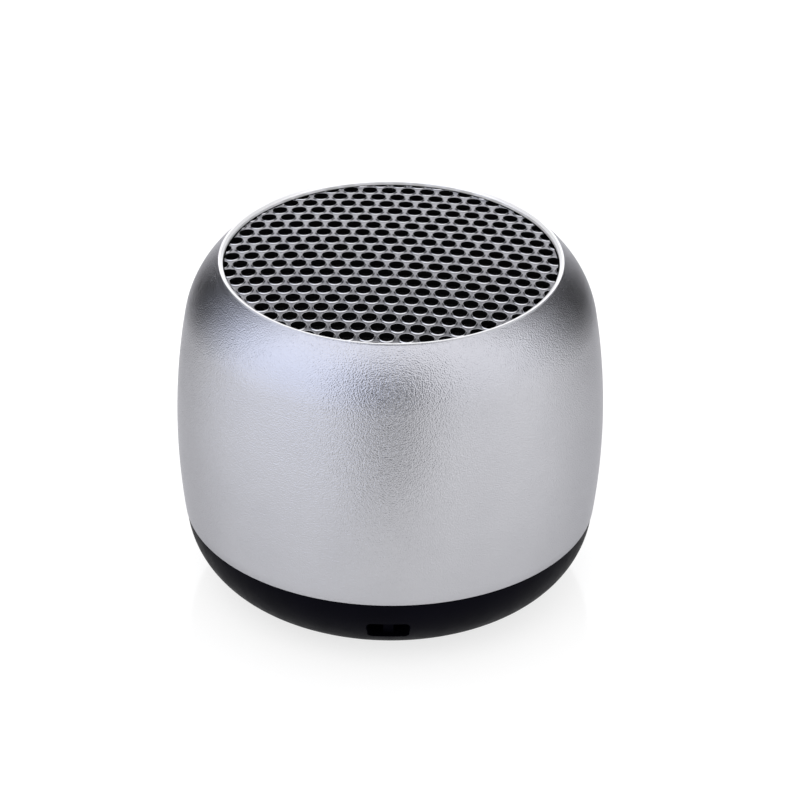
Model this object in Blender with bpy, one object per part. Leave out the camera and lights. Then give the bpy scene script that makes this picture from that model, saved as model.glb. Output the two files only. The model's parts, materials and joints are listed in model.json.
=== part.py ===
"""A pocket wireless speaker: an aluminium barrel with a crowned, perforated top, closed by a black base.

The barrel's turned axis is Z, the table is z = 0, and the strap slot faces -Y. Inside, from the top down, are
a full-range driver, the battery in its tray, and a round circuit board that the base's three screws clamp.
All dimensions are millimetres; every mesh is made in metres.
"""

import math

import bmesh
import bpy
from mathutils import Matrix, Vector

MM = 0.001
WELD = 1e-7  # metres: joins the points that a full turn brings together

# Facets round a full turn, and the turn that keeps a boss's corners off the edges of the piece it joins.
FINE = 40
MEDIUM = 24
COARSE = 12
BOSS_TURN = math.radians(11)

# The barrel's outside, in section: a long side arc that runs into a tighter shoulder arc.
BARREL_RADIUS = 23.0
WAIST_Z = 19.0
SIDE_ARC = 76.0
SHOULDER_Z = 31.0
SHOULDER_ARC = 11.4
BARREL_WALL = 1.0
SEAM_Z = 8.24
OPENING_RADIUS = 17.93
RIM_LAND = 0.5
RIM_LIP = 0.2  # how far the polished lip stands above the shoulder
RIM_CHAMFER = 0.08
LEDGE_Z = 36.75
LEDGE_RADIUS = 16.6
LEDGE_UNDER_Z = 35.9

# The grille: a disc crowned upwards and punched with a hexagonal field of holes.
GRILLE_RADIUS = 17.75
GRILLE_EDGE_Z = 37.34
GRILLE_CROWN = 0.8
GRILLE_SHEET = 0.5
HOLE_RADIUS = 0.775
HOLE_PITCH = 2.08
HOLE_TURN = math.radians(-3.77)
HOLE_SHIFT = (-0.36, -0.02)
GRILLE_MARGIN = 0.35
CLOTH_RADIUS = 16.3
CLOTH_SHEET = 0.2

# The driver hangs from the front face of its flange.
FLANGE_Z = 34.6
FLANGE_RADIUS = 18.3
CONE_EDGE_RADIUS = 13.9
CONE_EDGE_Z = -0.8
NECK_RADIUS = 5.3
NECK_Z = -3.4
SPIDER_LEDGE_Z = -5.2
BASKET_SHEET = 0.6
BASKET_WALL_TOP = 17.0
BASKET_WALL_FOOT = 13.3
BASKET_FLOOR_Z = -6.7
FORMER_RADIUS = 5.1
COIL_TOP = -6.6
COIL_HEIGHT = 3.0
WINDOW_ANGLES = (45, 135, 225, 315)

# The carrier between the base and the driver's flange, with the battery tray as its floor.
CARRIER_RADIUS = 20.9
CARRIER_WALL = 1.2
CARRIER_FOOT_Z = 10.9
TRAY_Z = 12.1
TRAY_HOLE_RADIUS = 10.5

# The base: a bowl whose side is one arc.
BASE_ARC_CENTRE = (13.67, 8.44)
BASE_ARC = 8.44
BASE_WALL = 1.7
BASE_TOP_Z = 8.09
BASE_FLOOR_TOP = 2.0
BASE_UNDERSIDE_Z = 0.3
SPIGOT_RADIUS = 20.85
SPIGOT_TOP_Z = 10.7
FOOT_INNER = 11.25
FOOT_OUTER = 14.95
FOOT_GROOVE_Z = 0.95
FOOT_SIDE_GAP = 0.15
FOOT_TOP_Z = 0.85

# Three screws hold base, board and carrier together.
SCREW_CIRCLE = 13.1
SCREW_ANGLES = (30, 150, 270)
SCREW_HEAD_RADIUS = 1.7
SCREW_SHANK_RADIUS = 0.9
SCREW_HEAD_Z = (1.05, 2.5)
SCREW_TIP_Z = 10.3
POST_RADIUS = 2.4

# The slot that a wrist strap threads through, with the bar behind it.
STRAP_SLOT = (4.5, 2.3)
STRAP_SLOT_Z = 4.25
STRAP_BAR_WIDTH = 1.1
STRAP_BAR_FRONT = -19.3
STRAP_BAR_BACK = -18.2
STRAP_POCKET_BACK = -16.6

# The round circuit board; z is its underside.
BOARD_Z = 6.2
BOARD_RADIUS = 19.2
BOARD_SHEET = 1.0
SOLDER_GAP = 0.05
USB_SIZE = (7.5, 5.0, 2.75)
USB_FRONT_Y = 19.9
USB_CUTOUT = (8.2, 3.35)

# The power button and its switch.
BUTTON_HOLE_RADIUS = 5.0
BUTTON_RADIUS = 4.75
BUTTON_STEM_TOP = 3.85
SWITCH_SIDE = 6.0
PLUNGER_RADIUS = 1.6

LED_X = 8.6
MICROPHONE_X = -9.0

FINISHES = {  # colour, roughness, metallic
    "satin_aluminium": ((0.72, 0.72, 0.75), 0.35, 1.0),
    "grille_steel": ((0.42, 0.42, 0.44), 0.4, 1.0),
    "black_cloth": ((0.012, 0.012, 0.013), 0.95, 0.0),
    "black_foam": ((0.03, 0.03, 0.03), 1.0, 0.0),
    "black_plastic": ((0.015, 0.015, 0.018), 0.45, 0.0),
    "white_plastic": ((0.8, 0.8, 0.78), 0.4, 0.0),
    "black_rubber": ((0.02, 0.02, 0.02), 0.8, 0.0),
    "black_steel": ((0.05, 0.05, 0.055), 0.4, 0.8),
    "zinc_steel": ((0.6, 0.6, 0.6), 0.3, 1.0),
    "magnet": ((0.25, 0.25, 0.26), 0.5, 0.9),
    "copper": ((0.7, 0.33, 0.15), 0.35, 1.0),
    "cone_paper": ((0.05, 0.05, 0.05), 0.9, 0.0),
    "spider_cloth": ((0.62, 0.45, 0.22), 0.9, 0.0),
    "tag_brass": ((0.75, 0.6, 0.3), 0.35, 1.0),
    "fibre_board": ((0.35, 0.18, 0.08), 0.7, 0.0),
    "board_green": ((0.02, 0.16, 0.07), 0.35, 0.0),
    "chip_black": ((0.025, 0.025, 0.025), 0.55, 0.0),
    "ceramic": ((0.75, 0.72, 0.65), 0.5, 0.0),
    "cell_foil": ((0.68, 0.68, 0.7), 0.35, 0.9),
    "red_insulation": ((0.6, 0.02, 0.02), 0.4, 0.0),
    "black_insulation": ((0.02, 0.02, 0.02), 0.4, 0.0),
    "clear_plastic": ((0.85, 0.88, 0.9), 0.15, 0.0),
}


# --- Tools -------------------------------------------------------------------------------------------------


def clear_scene():
    for obj in list(bpy.data.objects):
        bpy.data.objects.remove(obj)


def material(finish):
    found = bpy.data.materials.get(finish)
    if found:
        return found
    colour, roughness, metallic = FINISHES[finish]
    made = bpy.data.materials.new(finish)
    made.use_nodes = True
    shader = made.node_tree.nodes["Principled BSDF"]
    shader.inputs["Base Color"].default_value = (*colour, 1.0)
    shader.inputs["Roughness"].default_value = roughness
    shader.inputs["Metallic"].default_value = metallic
    return made


def anchor(name, height):
    """An empty that carries an assembly, so that its pieces are measured from their own reference plane."""
    empty = bpy.data.objects.new(name, None)
    empty.location = (0, 0, height * MM)
    bpy.context.scene.collection.objects.link(empty)
    return empty


def placed(name, mesh, finish, parent=None, location=(0, 0, 0)):
    """Makes an object of a bmesh, shaded smooth except at its edges."""
    bmesh.ops.recalc_face_normals(mesh, faces=mesh.faces)
    data = bpy.data.meshes.new(name)
    mesh.to_mesh(data)
    mesh.free()
    data.shade_smooth()
    data.set_sharp_from_angle(angle=math.radians(35))
    obj = bpy.data.objects.new(name, data)
    obj.location = Vector(location) * MM
    obj.parent = parent
    bpy.context.scene.collection.objects.link(obj)
    if finish:
        data.materials.append(material(finish))
    else:
        obj.hide_render = True
        obj.display_type = "WIRE"
    return obj


def arc(centre, radius, start, end, steps):
    """Points along an arc in the (radius, height) plane; angles in degrees."""
    turn = [math.radians(start + (end - start) * i / steps) for i in range(steps + 1)]
    return [(centre[0] + radius * math.cos(a), centre[1] + radius * math.sin(a)) for a in turn]


def turned(name, profile, finish, facets=FINE, parent=None, location=(0, 0, 0)):
    """Spins a (radius, height) profile round Z. One that starts and ends on the axis is left open there."""
    mesh = bmesh.new()
    points = [mesh.verts.new((r * MM, 0, z * MM)) for r, z in profile]
    edges = [mesh.edges.new(pair) for pair in zip(points, points[1:])]
    if profile[0][0] or profile[-1][0]:
        edges.append(mesh.edges.new((points[-1], points[0])))
    bmesh.ops.spin(
        mesh,
        geom=points + edges,
        axis=(0, 0, 1),
        cent=(0, 0, 0),
        angle=math.tau,
        steps=facets,
        use_merge=True,
    )
    bmesh.ops.remove_doubles(mesh, verts=mesh.verts, dist=WELD)
    return placed(name, mesh, finish, parent, location)


def ring(name, inner, outer, low, high, finish, facets=FINE, parent=None, location=(0, 0, 0)):
    profile = [(inner, low), (outer, low), (outer, high), (inner, high)]
    return turned(name, profile, finish, facets, parent, location)


def disc(name, radius, low, high, finish, facets=MEDIUM, parent=None, location=(0, 0, 0)):
    """A plain cylinder, each end one face."""
    mesh = bmesh.new()
    bmesh.ops.create_cone(
        mesh,
        cap_ends=True,
        segments=facets,
        radius1=radius * MM,
        radius2=radius * MM,
        depth=(high - low) * MM,
        matrix=Matrix.Translation((0, 0, (low + high) / 2 * MM)),
    )
    return placed(name, mesh, finish, parent, location)


def block(name, low, high, finish, parent=None, bevel=0.0, turn=0.0, location=(0, 0, 0)):
    """A box between two corners, its edges rounded by bevel, turned about Y through its location."""
    size = Vector(high) - Vector(low)
    centre = (Vector(high) + Vector(low)) / 2
    mesh = bmesh.new()
    bmesh.ops.create_cube(mesh, size=1)
    bmesh.ops.scale(mesh, vec=size * MM, verts=mesh.verts)
    bmesh.ops.translate(mesh, vec=centre * MM, verts=mesh.verts)
    if bevel:
        bmesh.ops.bevel(
            mesh, geom=mesh.edges[:], offset=bevel * MM, segments=2, profile=0.5, affect="EDGES"
        )
    obj = placed(name, mesh, finish, parent, location)
    obj.rotation_euler.y = turn
    return obj


def rounded_outline(width, height, radius, steps=3):
    """A rectangle about the origin, with round corners, anticlockwise."""
    corners = [(1, 1, 0), (-1, 1, 90), (-1, -1, 180), (1, -1, 270)]
    outline = []
    for side, end, start in corners:
        centre = (side * (width / 2 - radius), end * (height / 2 - radius))
        outline += arc(centre, radius, start, start + 90, steps)
    return outline


def slot_cutter(name, size, corner, height, near, far):
    """A cutter of rounded section in the XZ plane, that runs along Y from near to far."""
    mesh = bmesh.new()
    outline = rounded_outline(*size, corner)
    face = mesh.faces.new([mesh.verts.new((x * MM, near * MM, (z + height) * MM)) for x, z in outline])
    grown = bmesh.ops.extrude_face_region(mesh, geom=[face])["geom"]
    moved = [part for part in grown if isinstance(part, bmesh.types.BMVert)]
    bmesh.ops.translate(mesh, vec=(0, (far - near) * MM, 0), verts=moved)
    return placed(name, mesh, None)


def tube(name, route, radius, finish, parent=None):
    """A wire along a smooth curve through the route's points, as a beveled poly curve with flat ends."""
    points = smooth_route([Vector(p) for p in route])
    curve = bpy.data.curves.new(name, "CURVE")
    curve.dimensions = "3D"
    curve.bevel_depth = radius * MM
    curve.bevel_resolution = 2
    curve.use_fill_caps = True
    spline = curve.splines.new("POLY")
    spline.points.add(len(points) - 1)
    for target, point in zip(spline.points, points):
        target.co = (*(point * MM), 1)
    curve.materials.append(material(finish))
    obj = bpy.data.objects.new(name, curve)
    obj.parent = parent
    bpy.context.scene.collection.objects.link(obj)
    return obj


def smooth_route(points, between=2):
    """Catmull-Rom points through a route, with a few between each two of its own."""
    ends = [points[0] * 2 - points[1], *points, points[-1] * 2 - points[-2]]
    found = []
    for before, start, end, after in zip(ends, ends[1:], ends[2:], ends[3:]):
        for i in range(between):
            t = i / between
            found.append(
                0.5
                * (
                    2 * start
                    + (end - before) * t
                    + (2 * before - 5 * start + 4 * end - after) * t**2
                    + (3 * start - before - 3 * end + after) * t**3
                )
            )
    return [*found, points[-1]]


def combine(piece, other, operation, turn=0.0):
    other.rotation_euler.z += turn
    modifier = piece.modifiers.new(other.name, "BOOLEAN")
    modifier.operation = operation
    modifier.solver = "EXACT"
    modifier.object = other


def on_circle(radius, degrees, height=0.0):
    return (radius * math.cos(math.radians(degrees)), radius * math.sin(math.radians(degrees)), height)


# --- Barrel and grille -------------------------------------------------------------------------------------


def barrel_section(inset, seam_z, top_z, steps):
    """The barrel's section as an arc pair, inset from its outside, from the seam up to a height."""
    side_centre = (BARREL_RADIUS - SIDE_ARC, WAIST_Z)
    tangent = math.degrees(math.asin((SHOULDER_Z - WAIST_Z) / SIDE_ARC))
    reach = SIDE_ARC - SHOULDER_ARC
    shoulder_centre = (
        side_centre[0] + reach * math.cos(math.radians(tangent)),
        side_centre[1] + reach * math.sin(math.radians(tangent)),
    )
    first = math.degrees(math.asin((seam_z - WAIST_Z) / (SIDE_ARC - inset)))
    last = math.degrees(math.asin((top_z - shoulder_centre[1]) / (SHOULDER_ARC - inset)))
    side = arc(side_centre, SIDE_ARC - inset, first, tangent, steps)
    shoulder = arc(shoulder_centre, SHOULDER_ARC - inset, tangent, last, steps)
    return side + shoulder[1:]


def shoulder_end_height():
    """Height at which the shoulder arc reaches the lip round the opening."""
    tangent = math.asin((SHOULDER_Z - WAIST_Z) / SIDE_ARC)
    centre_r = BARREL_RADIUS - SIDE_ARC + (SIDE_ARC - SHOULDER_ARC) * math.cos(tangent)
    centre_z = WAIST_Z + (SIDE_ARC - SHOULDER_ARC) * math.sin(tangent)
    across = OPENING_RADIUS + RIM_LAND - centre_r
    return centre_z + math.sqrt(SHOULDER_ARC**2 - across**2)


def make_outer_shell():
    shoulder_z = shoulder_end_height()
    rim_z = shoulder_z + RIM_LIP
    outside = barrel_section(0.0, SEAM_Z, shoulder_z, 5)
    inside = barrel_section(BARREL_WALL, SEAM_Z, LEDGE_UNDER_Z, 3)
    opening = [
        (OPENING_RADIUS + RIM_LAND, rim_z - RIM_CHAMFER),
        (OPENING_RADIUS + RIM_LAND - RIM_CHAMFER, rim_z),
        (OPENING_RADIUS + RIM_CHAMFER, rim_z),
        (OPENING_RADIUS, rim_z - RIM_CHAMFER),
        (OPENING_RADIUS, LEDGE_Z),
        (LEDGE_RADIUS, LEDGE_Z),
        (LEDGE_RADIUS, LEDGE_UNDER_Z),
    ]
    turned("outer_shell", outside + opening + inside[::-1], "satin_aluminium")


def hole_centres(limit):
    """Centres of the hexagonal hole field that lie within a radius."""
    reach = int(limit / HOLE_PITCH) + 2
    found = []
    for row in range(-reach - 2, reach + 3):
        for column in range(-2 * reach, 2 * reach):
            x = (column + row / 2) * HOLE_PITCH
            y = row * HOLE_PITCH * math.sin(math.radians(60))
            across = x * math.cos(HOLE_TURN) - y * math.sin(HOLE_TURN) + HOLE_SHIFT[0]
            along = x * math.sin(HOLE_TURN) + y * math.cos(HOLE_TURN) + HOLE_SHIFT[1]
            if math.hypot(across, along) <= limit:
                found.append((across, along))
    return found


def crown(radius):
    """How far the grille's surface stands above its own edge."""
    return GRILLE_CROWN * (1 - (radius / GRILLE_RADIUS) ** 2)


def polygon(centre, radius, sides, turn=0.0):
    angles = [turn + math.tau * i / sides for i in range(sides)]
    return [(centre[0] + radius * math.cos(a), centre[1] + radius * math.sin(a)) for a in angles]


def make_grille():
    """A flat filled outline with its holes, thickened, then crowned.

    Each hole is a hexagon with the round hole's area.
    """
    hexagon = HOLE_RADIUS * math.sqrt(math.tau / (3 * math.sqrt(3)))
    limit = GRILLE_RADIUS - hexagon - GRILLE_MARGIN
    turn = HOLE_TURN + math.radians(30)
    outlines = [polygon((0, 0), GRILLE_RADIUS, FINE)]
    outlines += [polygon(centre, hexagon, 6, turn) for centre in hole_centres(limit)]
    curve = bpy.data.curves.new("grille_outline", "CURVE")
    curve.dimensions = "2D"
    curve.fill_mode = "BOTH"
    curve.extrude = GRILLE_SHEET / 2 * MM
    for outline in outlines:
        spline = curve.splines.new("POLY")
        spline.points.add(len(outline) - 1)
        spline.use_cyclic_u = True
        for target, (x, y) in zip(spline.points, outline):
            target.co = (x * MM, y * MM, 0, 1)
    flat = bpy.data.objects.new("grille_outline", curve)
    mesh = bmesh.new()
    mesh.from_mesh(flat.to_mesh())
    bpy.data.objects.remove(flat)
    bmesh.ops.remove_doubles(mesh, verts=mesh.verts, dist=WELD)
    for vert in mesh.verts:
        vert.co.z += (crown(math.hypot(vert.co.x, vert.co.y) / MM) + GRILLE_EDGE_Z - GRILLE_SHEET / 2) * MM
    placed("grille", mesh, "grille_steel")


def make_grille_cloth():
    """Dust cloth that follows the underside of the grille."""
    top = GRILLE_EDGE_Z - GRILLE_SHEET - 0.1
    radii = [CLOTH_RADIUS * i / 3 for i in range(4)]
    upper = [(r, top + crown(r)) for r in radii]
    lower = [(r, top + crown(r) - CLOTH_SHEET) for r in radii]
    turned("grille_cloth", upper + lower[::-1], "black_cloth", MEDIUM)


# --- Driver ------------------------------------------------------------------------------------------------


def make_basket(driver):
    """A stamped dish: flange, sloping wall with four windows, spider ledge and floor on the top plate."""
    profile = [
        (FLANGE_RADIUS, -BASKET_SHEET),
        (FLANGE_RADIUS, 0),
        (16.6, 0),
        (13.0, SPIDER_LEDGE_Z),
        (11.2, SPIDER_LEDGE_Z),
        (11.2, BASKET_FLOOR_Z),
        (6.2, BASKET_FLOOR_Z),
        (6.2, BASKET_FLOOR_Z - BASKET_SHEET),
        (11.8, BASKET_FLOOR_Z - BASKET_SHEET),
        (11.8, SPIDER_LEDGE_Z - BASKET_SHEET),
        (BASKET_WALL_FOOT, SPIDER_LEDGE_Z - BASKET_SHEET),
        (BASKET_WALL_TOP, -BASKET_SHEET),
    ]
    basket = turned("driver_basket", profile, "black_steel", MEDIUM, driver)
    for number, degrees in enumerate(WINDOW_ANGLES, 1):
        window = block(f"basket_window_{number}", (12.5, -4.4, -4.7), (18.0, 4.4, -1.2), None, driver)
        window.rotation_euler.z = math.radians(degrees)
        combine(basket, window, "DIFFERENCE")


def make_motor(driver):
    """The magnet between its top plate and the yoke, whose pole leaves the gap that the coil moves in."""
    ring("top_plate", 5.85, 10.8, -8.9, -7.4, "zinc_steel", MEDIUM, driver)
    ring("magnet", 6.4, 10.5, -12.75, -9.0, "magnet", MEDIUM, driver)
    plate = [(0, -14.4), (10.2, -14.4), (10.5, -14.1), (10.5, -12.85)]
    pole = [(4.75, -12.85), (4.75, -7.4), (0, -7.4)]
    turned("yoke", plate + pole, "zinc_steel", MEDIUM, driver)


def make_moving_assembly(driver):
    """Cone, dust cap, former and coil, which move together along Z."""
    cone = [
        (CONE_EDGE_RADIUS, CONE_EDGE_Z),
        (NECK_RADIUS, NECK_Z),
        (NECK_RADIUS, NECK_Z - 0.45),
        (CONE_EDGE_RADIUS, CONE_EDGE_Z - 0.35),
    ]
    turned("cone", cone, "cone_paper", MEDIUM, driver)
    cap_rim, cap_low, cap_rise, steps = 6.3, NECK_Z + 0.55, 1.4, 4
    outer = [(cap_rim * i / steps, cap_low + cap_rise * (1 - (i / steps) ** 2)) for i in range(steps + 1)]
    inner = [(r * 0.96, z - 0.2) for r, z in outer[:-1]] + [(cap_rim - 0.25, cap_low)]
    turned("dust_cap", outer + inner[::-1], "cone_paper", MEDIUM, driver)
    former_low = COIL_TOP - COIL_HEIGHT - 0.1
    former_top = NECK_Z + 0.6
    inner, outer = FORMER_RADIUS - 0.1, FORMER_RADIUS + 0.1
    ring("voice_coil_former", inner, outer, former_low, former_top, "cone_paper", MEDIUM, driver)
    inner, outer = FORMER_RADIUS + 0.15, FORMER_RADIUS + 0.5
    ring("voice_coil", inner, outer, COIL_TOP - COIL_HEIGHT, COIL_TOP, "copper", MEDIUM, driver)


def make_suspension(driver):
    """The half-roll surround at the cone's edge and the corrugated spider at its neck."""
    sheet = 0.25
    low, high, steps = CONE_EDGE_Z + 0.15, 0.1, 5
    roll_first, roll_last, roll_height = 14.0, 16.6, 0.9
    roll = [
        (
            roll_first + (roll_last - roll_first) * (1 - math.cos(math.pi * i / steps)) / 2,
            low + (high - low) * i / steps + roll_height * math.sin(math.pi * i / steps),
        )
        for i in range(steps + 1)
    ]
    lower = [(13.1, low), *roll, (17.4, high)]
    turned("surround", lower + [(r, z + sheet) for r, z in reversed(lower)], "black_rubber", MEDIUM, driver)

    waves, steps, depth = 2, 8, 0.22
    first, last = 6.2, 11.2
    low, high = SPIDER_LEDGE_Z + 0.3, SPIDER_LEDGE_Z + 0.75
    wave = [
        (
            first + (last - first) * i / steps,
            high + (low - high) * i / steps + depth * math.sin(math.tau * waves * i / steps),
        )
        for i in range(steps + 1)
    ]
    lower = [(NECK_RADIUS, high), *wave, (12.8, low)]
    turned("spider", lower + [(r, z + sheet) for r, z in reversed(lower)], "spider_cloth", MEDIUM, driver)


def make_terminals(driver):
    """A fibre board with two tags on the basket's wall, and tinsel leads through its windows to the cone."""
    run, rise = BASKET_WALL_TOP - BASKET_WALL_FOOT, -SPIDER_LEDGE_Z
    slope = math.atan2(run, rise)
    place = ((BASKET_WALL_TOP + BASKET_WALL_FOOT) / 2, 0, SPIDER_LEDGE_Z / 2 - BASKET_SHEET)
    low, high = (0.15, -4.0, -2.0), (0.85, 4.0, 1.6)
    block("terminal_board", low, high, "fibre_board", driver, turn=slope, location=place)
    for name, y in (("positive", 2.2), ("negative", -2.2)):
        low, high = (0.95, y - 0.7, -1.6), (1.25, y + 0.7, 1.2)
        block(f"terminal_tag_{name}", low, high, "tag_brass", driver, turn=slope, location=place)
        side = math.copysign(1, y)
        route = [
            (16.9, side * 3.3, -2.8),
            (16.6, side * 5.0, -2.7),
            (15.0, side * 7.4, -2.8),
            (13.0, side * 8.6, -3.1),
            (10.6, side * 7.4, -3.1),
            (8.6, side * 5.2, -3.2),
            (7.3, side * 3.6, -3.4),
        ]
        tube(f"tinsel_lead_{name}", route, 0.2, "copper", driver)


def make_driver():
    driver = anchor("driver", FLANGE_Z)
    make_basket(driver)
    make_motor(driver)
    make_moving_assembly(driver)
    make_suspension(driver)
    make_terminals(driver)
    ring("driver_gasket", 16.8, FLANGE_RADIUS, 0.45, 1.2, "black_foam", MEDIUM, driver)


# --- Carrier and battery -----------------------------------------------------------------------------------


def make_carrier():
    """A sleeve that clamps the driver from below. Its floor is the battery tray, with the screws' bosses."""
    inner = CARRIER_RADIUS - CARRIER_WALL
    profile = [
        (CARRIER_RADIUS, CARRIER_FOOT_Z),
        (CARRIER_RADIUS, 29.5),
        (19.2, 33.4),
        (19.2, 33.9),
        (17.2, 33.9),
        (17.2, 32.9),
        (inner, 28.9),
        (inner, TRAY_Z),
        (TRAY_HOLE_RADIUS, TRAY_Z),
        (TRAY_HOLE_RADIUS, CARRIER_FOOT_Z),
    ]
    carrier = turned("inner_carrier", profile, "black_plastic", MEDIUM)
    for number, degrees in enumerate(SCREW_ANGLES, 1):
        place = on_circle(SCREW_CIRCLE, degrees)
        boss = disc(f"boss_{number}", 2.2, 7.35, 11.2, None, COARSE, location=place)
        pilot = disc(f"pilot_{number}", SCREW_SHANK_RADIUS + 0.15, 7.0, 10.7, None, COARSE, location=place)
        combine(carrier, boss, "UNION", BOSS_TURN)
        combine(carrier, pilot, "DIFFERENCE", BOSS_TURN / 2)
    battery_way = block("battery_lead_way", (-3.4, 15.4, 10), (3.4, 18.8, 13), None)
    speaker_way = block("speaker_lead_way", (15.4, -3.0, 10), (18.8, 3.0, 13), None)
    combine(carrier, battery_way, "DIFFERENCE")
    combine(carrier, speaker_way, "DIFFERENCE")


def make_battery():
    """A pouch cell in the tray on a foam pad, with its protection board and leads at the rear end."""
    pad_top = TRAY_Z + 0.5
    block("battery_pad", (-9.0, -13.0, TRAY_Z + 0.1), (9.0, 11.0, pad_top), "black_foam")
    low, high = (-10.0, -15.0, pad_top + 0.1), (10.0, 12.0, pad_top + 6.1)
    block("battery_cell", low, high, "cell_foil", bevel=1.2)
    block("battery_protection_board", (-8.0, 12.3, 15.0), (8.0, 15.0, 15.8), "board_green")
    for name, x, finish in (("positive", 1.5, "red_insulation"), ("negative", -1.5, "black_insulation")):
        route = [(x, 15.15, 15.4), (x, 16.6, 14.6), (x, 17.0, 12.0), (x, 17.0, 9.6), (x, 16.6, 7.75)]
        tube(f"battery_lead_{name}", route, 0.45, finish)


def make_speaker_leads():
    for name, y, finish in (("positive", 1.6, "red_insulation"), ("negative", -1.6, "black_insulation")):
        route = [
            (17.0, y * 1.3, 30.6),
            (18.2, y, 28.6),
            (18.0, y, 24.0),
            (17.3, y, 18.0),
            (17.1, y, 12.0),
            (17.1, y, 9.6),
            (16.8, y, 7.75),
        ]
        tube(f"speaker_lead_{name}", route, 0.45, finish)


# --- Circuit board -----------------------------------------------------------------------------------------


def make_board():
    """The round board and what is soldered on its two sides; heights are from its underside."""
    board = anchor("board", BOARD_Z)
    plate = disc("main_board", BOARD_RADIUS, 0, BOARD_SHEET, "board_green", MEDIUM, board)
    for number, degrees in enumerate(SCREW_ANGLES, 1):
        hole = disc(f"board_hole_{number}", 1.2, -1, 2, None, COARSE, board, on_circle(SCREW_CIRCLE, degrees))
        combine(plate, hole, "DIFFERENCE", BOSS_TURN)
    make_top_side(board, BOARD_SHEET + SOLDER_GAP)
    make_under_side(board, -SOLDER_GAP)


def make_top_side(board, level):
    chips = [  # name, centre, size, finish
        ("bluetooth_chip", (4.5, 3.0), (5.0, 5.0, 0.8), "chip_black"),
        ("amplifier_chip", (-4.5, 4.0), (4.9, 3.9, 1.4), "chip_black"),
        ("crystal", (5.0, -3.5), (3.2, 2.5, 0.8), "zinc_steel"),
        ("chip_antenna", (-15.0, -3.0), (2.0, 9.0, 1.0), "ceramic"),
    ]
    for name, (x, y), (wide, long, tall), finish in chips:
        low, high = (x - wide / 2, y - long / 2, level), (x + wide / 2, y + long / 2, level + tall)
        block(name, low, high, finish, board)
    disc("power_inductor", 2.2, level, level + 2.6, "chip_black", COARSE, board, (-5.0, -3.5, 0))
    disc("electrolytic_capacitor", 2.0, level, level + 3.6, "cell_foil", COARSE, board, (0.3, -7.5, 0))


def make_under_side(board, level):
    make_usb(board, level)
    half = SWITCH_SIDE / 2
    body = block("switch_body", (-half, -half, level - 1.6), (half, half, level), "chip_black", board)
    well = disc("switch_well", PLUNGER_RADIUS + 0.15, level - 2, level - 0.6, None, COARSE, board)
    combine(body, well, "DIFFERENCE", BOSS_TURN)
    disc("switch_plunger", PLUNGER_RADIUS, -2.15, -1.1, "white_plastic", COARSE, board)

    led = (LED_X, 0, level - 0.4)
    block("status_led", (led[0] - 1, -0.6, level - 0.8), (led[0] + 1, 0.6, level), "white_plastic", board)
    disc("microphone", 2.0, level - 1.5, level, "zinc_steel", COARSE, board, (MICROPHONE_X, 0, 0))


def make_usb(board, level):
    """A micro-USB receptacle: a folded steel shell, open to the rear, round its contact tongue."""
    wide, deep, tall = USB_SIZE
    centre_z = level - tall / 2
    shell = slot_cutter("micro_usb_shell", (wide, tall), 0.6, centre_z, USB_FRONT_Y - deep, USB_FRONT_Y)
    shell.parent = board
    shell.hide_render = False
    shell.display_type = "TEXTURED"
    shell.data.materials.append(material("zinc_steel"))
    mouth = slot_cutter(
        "usb_mouth", (wide - 0.6, tall - 0.6), 0.4, centre_z, USB_FRONT_Y - deep + 0.4, USB_FRONT_Y + 1
    )
    mouth.parent = board
    combine(shell, mouth, "DIFFERENCE")
    low = (-1.8, USB_FRONT_Y - deep + 0.45, centre_z + 0.1)
    high = (1.8, USB_FRONT_Y - 0.9, centre_z + 0.75)
    block("micro_usb_tongue", low, high, "chip_black", board)


# --- Base --------------------------------------------------------------------------------------------------


def base_profile():
    """The bowl's section: underside with the foot groove, outer arc, spigot, inner arc and floor."""
    groove_in, groove_out = FOOT_INNER - FOOT_SIDE_GAP, FOOT_OUTER + FOOT_SIDE_GAP
    centre_r, centre_z = BASE_ARC_CENTRE
    lowest = math.degrees(math.asin((BASE_UNDERSIDE_Z - centre_z) / BASE_ARC))
    highest = math.degrees(math.asin((BASE_TOP_Z - centre_z) / BASE_ARC))
    spigot_inner = SPIGOT_RADIUS - 0.85
    inner_arc = BASE_ARC - BASE_WALL
    inner_top = -math.degrees(math.acos((spigot_inner - centre_r) / inner_arc))
    inner_low = math.degrees(math.asin((BASE_FLOOR_TOP - centre_z) / inner_arc))
    return [
        (BUTTON_HOLE_RADIUS, BASE_FLOOR_TOP),
        (BUTTON_HOLE_RADIUS, BASE_UNDERSIDE_Z),
        (groove_in, BASE_UNDERSIDE_Z),
        (groove_in, FOOT_GROOVE_Z),
        (groove_out, FOOT_GROOVE_Z),
        (groove_out, BASE_UNDERSIDE_Z),
        *arc(BASE_ARC_CENTRE, BASE_ARC, lowest, highest, 6),
        (SPIGOT_RADIUS, BASE_TOP_Z),
        (SPIGOT_RADIUS, SPIGOT_TOP_Z),
        (spigot_inner, SPIGOT_TOP_Z),
        *arc(BASE_ARC_CENTRE, inner_arc, inner_top, inner_low, 3),
    ]


def strap_housing():
    """The solid behind the strap slot, that closes its pocket off from the inside."""
    outline = [(-15.9, 6.05), (-19.9, 6.05), (-19.9, 4.2), (-18.6, 2.5), (-18.0, 1.6), (-15.9, 1.6)]
    half = 3.3
    mesh = bmesh.new()
    face = mesh.faces.new([mesh.verts.new((-half * MM, y * MM, z * MM)) for y, z in outline])
    grown = bmesh.ops.extrude_face_region(mesh, geom=[face])["geom"]
    moved = [part for part in grown if isinstance(part, bmesh.types.BMVert)]
    bmesh.ops.translate(mesh, vec=(2 * half * MM, 0, 0), verts=moved)
    return placed("strap_housing", mesh, None)


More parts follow.
